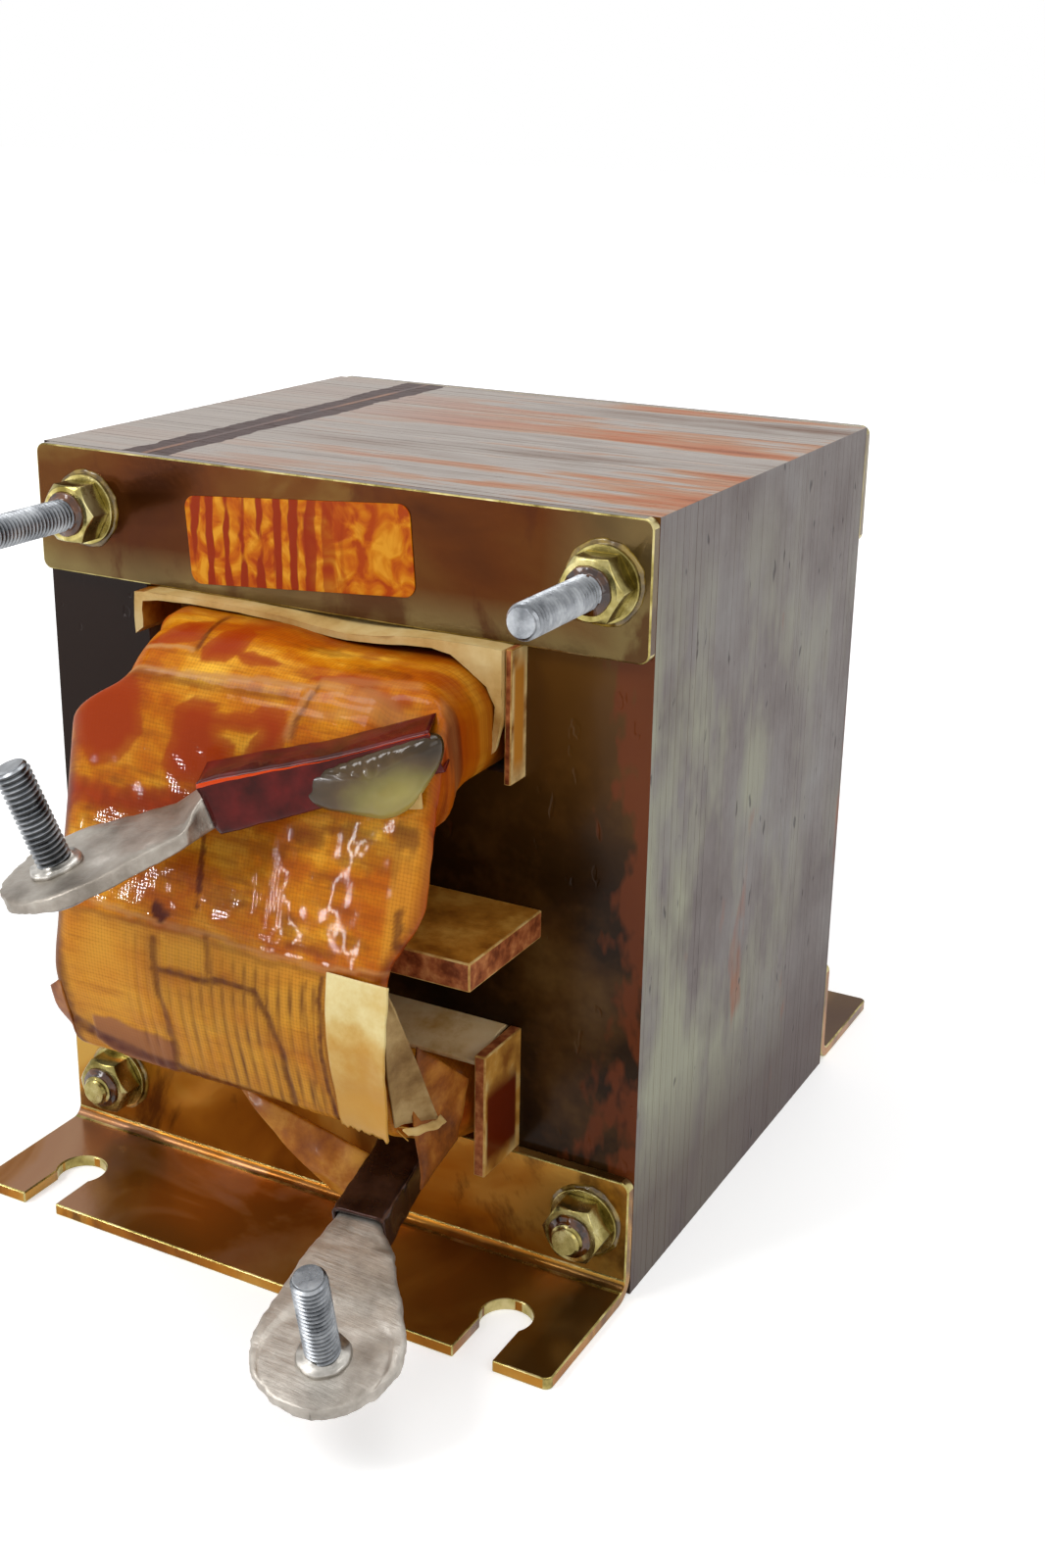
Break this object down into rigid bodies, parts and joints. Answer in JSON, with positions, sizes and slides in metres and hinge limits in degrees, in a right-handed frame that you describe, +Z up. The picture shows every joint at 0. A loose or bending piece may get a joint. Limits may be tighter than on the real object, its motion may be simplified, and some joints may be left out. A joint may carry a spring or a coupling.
{
  "type": "transformer",
  "caption": "Open-frame transformer: a taped, varnished coil on a laminated E-I steel core, clamped by bolted plates and slotted foot angles, with stud lugs on short leads.",
  "frame": {"origin": "middle of the base, on the plane that the feet and the core's underside stand on", "axes": "+Z up, X to the right along the coil's axis with the E's spine on the right, -Y to the front where the leads and the bare bolt ends are"},
  "size_m": [0.169, 0.2793, 0.192],
  "materials": {
    "core_steel": "varnished sheet edges, grey-brown, satin",
    "zinc_steel": "yellow-zinc sheet under amber varnish, glossy",
    "plated_steel": "bright zinc plate, threaded",
    "tinned_copper": "dull tin over copper, brushed",
    "enamelled_copper": "enamelled wire, hidden under the tape",
    "varnished_tape": "woven tape soaked in amber varnish, glossy",
    "cream_board": "calendered board, matte",
    "phenolic_board": "amber resin board, satin",
    "insulating_tube": "resin paper tube, hidden",
    "red_sleeve": "dark red sleeving, glossy",
    "black_sleeve": "brown-black sleeving, glossy",
    "cured_adhesive": "cloudy greenish resin drop, glossy",
    "pale_tape": "pale yellow tape end, frayed, glossy streaks",
    "orange_label": "blank orange paper with darker bands, satin"
  },
  "bodies": {
    "root": {"e_core_stack": "core_steel", "i_core_stack": "core_steel", "front_clamp_plate": "zinc_steel", "rear_clamp_plate": "zinc_steel", "front_foot_angle": "zinc_steel", "rear_foot_angle": "zinc_steel", "clamp_nuts": "zinc_steel", "front_washers": "zinc_steel", "rear_washers": "zinc_steel", "upper_left_clamp_bolt": "plated_steel", "upper_right_clamp_bolt": "plated_steel", "lower_left_clamp_bolt": "plated_steel", "lower_right_clamp_bolt": "plated_steel", "upper_terminal_stud": "plated_steel", "lower_terminal_stud": "plated_steel", "upper_lead_conductor": "tinned_copper", "lower_lead_conductor": "tinned_copper", "inner_winding": "enamelled_copper", "outer_winding": "enamelled_copper", "coil_tape_wrap": "varnished_tape", "upper_window_liner": "cream_board", "lower_window_liner": "cream_board", "winding_barrier": "cream_board", "paper_flap": "cream_board", "air_gap_spacer": "cream_board", "upper_window_board": "phenolic_board", "lower_window_board": "phenolic_board", "front_spacer_board": "phenolic_board", "rear_spacer_board": "phenolic_board", "bolt_insulating_tubes": "insulating_tube", "upper_lead_sleeve": "red_sleeve", "lower_lead_sleeve": "black_sleeve", "upper_lead_adhesive": "cured_adhesive", "tape_tail": "pale_tape", "rating_label": "orange_label"}
  },
  "joints": []
}
